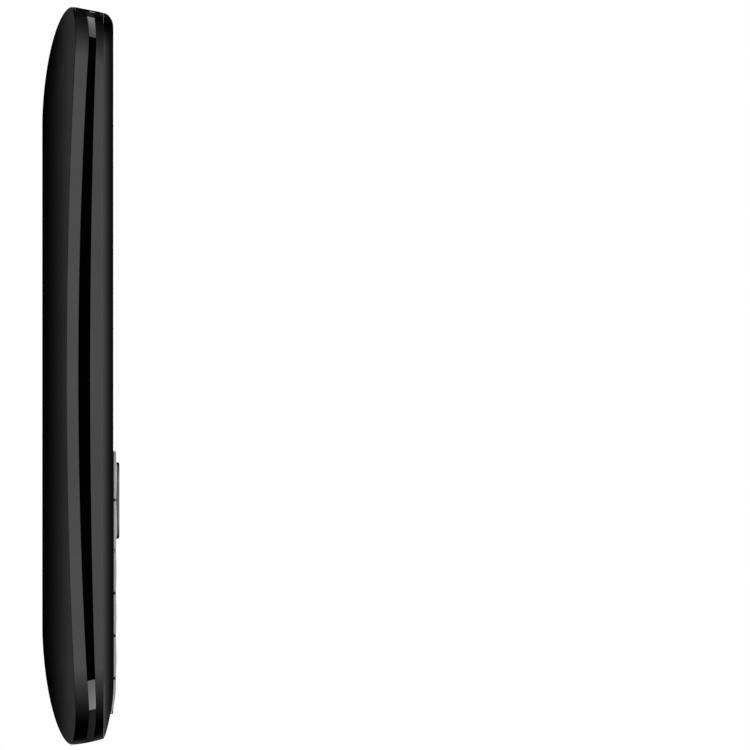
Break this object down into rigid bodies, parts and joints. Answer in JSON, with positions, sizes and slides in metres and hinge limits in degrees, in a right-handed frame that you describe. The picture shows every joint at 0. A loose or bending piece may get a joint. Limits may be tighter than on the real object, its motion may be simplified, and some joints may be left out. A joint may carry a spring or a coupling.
{
  "type": "mobile phone",
  "caption": "Glossy black bar phone with a domed back, a dark strip with silver accents round its side band, a display and raised keys round a navigation pad.",
  "frame": {"origin": "centre of the flat back, on which the phone lies", "axes": "+Z out of the screen, +Y towards the earpiece end, +X to the right of a person who reads the screen"},
  "size_m": [0.05, 0.1212, 0.0127],
  "materials": {
    "gloss_black_plastic": "gloss",
    "black_inlay": "gloss",
    "silver_accent": "satin",
    "key_plastic": "satin",
    "nav_chrome": "gloss",
    "clear_lens": "gloss",
    "display_stack": "gloss",
    "inner_black_plastic": "matt",
    "black_rubber": "matt",
    "board_green": "satin",
    "steel": "satin",
    "battery_sleeve": "satin"
  },
  "bodies": {
    "phone": {"rear_housing": "gloss_black_plastic", "front_housing": "gloss_black_plastic", "side_inlay_left": "black_inlay", "side_inlay_right": "black_inlay", "end_inlay_bottom": "black_inlay", "end_inlay_top_left": "black_inlay", "end_inlay_top_right": "black_inlay", "accent_top_left": "silver_accent", "accent_top_right": "silver_accent", "accent_bottom_left": "silver_accent", "accent_bottom_right": "silver_accent", "display_lens": "clear_lens", "torch_lens": "clear_lens", "torch_led": "clear_lens", "display_module": "display_stack", "port_panel": "inner_black_plastic", "audio_jack": "inner_black_plastic", "battery_connector": "inner_black_plastic", "camera_module": "inner_black_plastic", "keypad_mat": "black_rubber", "display_gasket": "black_rubber", "main_board": "board_green", "dome_sheet": "steel", "earpiece_mesh": "steel", "earpiece_speaker": "steel", "microphone": "steel", "sim_holder": "steel", "memory_card_holder": "steel", "usb_port": "steel", "shield_can_left": "steel", "shield_can_right": "steel", "loudspeaker": "steel", "vibration_motor": "steel", "screw_top_left": "steel", "screw_top_right": "steel", "screw_middle_left": "steel", "screw_middle_right": "steel"},
    "soft_key_left": {"soft_key_left": "key_plastic"},
    "soft_key_right": {"soft_key_right": "key_plastic"},
    "call_key": {"call_key": "key_plastic"},
    "end_key": {"end_key": "key_plastic"},
    "key_1": {"key_1": "key_plastic"},
    "key_2": {"key_2": "key_plastic"},
    "key_3": {"key_3": "key_plastic"},
    "key_4": {"key_4": "key_plastic"},
    "key_5": {"key_5": "key_plastic"},
    "key_6": {"key_6": "key_plastic"},
    "key_7": {"key_7": "key_plastic"},
    "key_8": {"key_8": "key_plastic"},
    "key_9": {"key_9": "key_plastic"},
    "key_star": {"key_star": "key_plastic"},
    "key_0": {"key_0": "key_plastic"},
    "key_hash": {"key_hash": "key_plastic"},
    "ok_key": {"ok_key": "nav_chrome"},
    "nav_plate": {"nav_plate": "steel"},
    "nav_ring": {"nav_ring": "nav_chrome"},
    "cover": {"rear_cover": "gloss_black_plastic", "camera_window": "clear_lens"},
    "battery": {"battery": "battery_sleeve"},
    "vibration_weight": {"vibration_weight": "steel"}
  },
  "joints": [
    {"name": "soft_key_left_press", "type": "slide", "parent": "phone", "child": "soft_key_left", "axis": [0, 0, -1], "range_m": [0, 0.00025], "stiffness_N_per_m": 500},
    {"name": "soft_key_right_press", "type": "slide", "parent": "phone", "child": "soft_key_right", "axis": [0, 0, -1], "range_m": [0, 0.00025], "stiffness_N_per_m": 500},
    {"name": "call_key_press", "type": "slide", "parent": "phone", "child": "call_key", "axis": [0, 0, -1], "range_m": [0, 0.00025], "stiffness_N_per_m": 500},
    {"name": "end_key_press", "type": "slide", "parent": "phone", "child": "end_key", "axis": [0, 0, -1], "range_m": [0, 0.00025], "stiffness_N_per_m": 500},
    {"name": "key_1_press", "type": "slide", "parent": "phone", "child": "key_1", "axis": [0, 0, -1], "range_m": [0, 0.00025], "stiffness_N_per_m": 500},
    {"name": "key_2_press", "type": "slide", "parent": "phone", "child": "key_2", "axis": [0, 0, -1], "range_m": [0, 0.00025], "stiffness_N_per_m": 500},
    {"name": "key_3_press", "type": "slide", "parent": "phone", "child": "key_3", "axis": [0, 0, -1], "range_m": [0, 0.00025], "stiffness_N_per_m": 500},
    {"name": "key_4_press", "type": "slide", "parent": "phone", "child": "key_4", "axis": [0, 0, -1], "range_m": [0, 0.00025], "stiffness_N_per_m": 500},
    {"name": "key_5_press", "type": "slide", "parent": "phone", "child": "key_5", "axis": [0, 0, -1], "range_m": [0, 0.00025], "stiffness_N_per_m": 500},
    {"name": "key_6_press", "type": "slide", "parent": "phone", "child": "key_6", "axis": [0, 0, -1], "range_m": [0, 0.00025], "stiffness_N_per_m": 500},
    {"name": "key_7_press", "type": "slide", "parent": "phone", "child": "key_7", "axis": [0, 0, -1], "range_m": [0, 0.00025], "stiffness_N_per_m": 500},
    {"name": "key_8_press", "type": "slide", "parent": "phone", "child": "key_8", "axis": [0, 0, -1], "range_m": [0, 0.00025], "stiffness_N_per_m": 500},
    {"name": "key_9_press", "type": "slide", "parent": "phone", "child": "key_9", "axis": [0, 0, -1], "range_m": [0, 0.00025], "stiffness_N_per_m": 500},
    {"name": "key_star_press", "type": "slide", "parent": "phone", "child": "key_star", "axis": [0, 0, -1], "range_m": [0, 0.00025], "stiffness_N_per_m": 500},
    {"name": "key_0_press", "type": "slide", "parent": "phone", "child": "key_0", "axis": [0, 0, -1], "range_m": [0, 0.00025], "stiffness_N_per_m": 500},
    {"name": "key_hash_press", "type": "slide", "parent": "phone", "child": "key_hash", "axis": [0, 0, -1], "range_m": [0, 0.00025], "stiffness_N_per_m": 500},
    {"name": "ok_key_press", "type": "slide", "parent": "phone", "child": "ok_key", "axis": [0, 0, -1], "range_m": [0, 0.00025], "stiffness_N_per_m": 500},
    {"name": "nav_tilt_sideways", "type": "hinge", "parent": "phone", "child": "nav_plate", "pos_m": [0, -0.02048, 0.00946], "axis": [0, 1, 0], "range_deg": [-1.2, 1.2], "stiffness_Nm_per_rad": 0.4},
    {"name": "nav_tilt_lengthwise", "type": "hinge", "parent": "nav_plate", "child": "nav_ring", "pos_m": [0, -0.02048, 0.00983], "axis": [1, 0, 0], "range_deg": [-1.2, 1.2], "stiffness_Nm_per_rad": 0.4},
    {"name": "cover_lift", "type": "slide", "parent": "phone", "child": "cover", "axis": [0, 0, -1], "range_m": [0, 0.03]},
    {"name": "battery_lift", "type": "slide", "parent": "phone", "child": "battery", "axis": [0, 0, -1], "range_m": [0, 0.015]},
    {"name": "vibration_spin", "type": "hinge", "parent": "phone", "child": "vibration_weight", "pos_m": [-0.00725, 0.03765, 0.00358], "axis": [1, 0, 0], "continuous": true}
  ],
  "couplings": [
    {"joint": "battery_lift", "follows": "cover_lift", "ratio": 0.5}
  ]
}
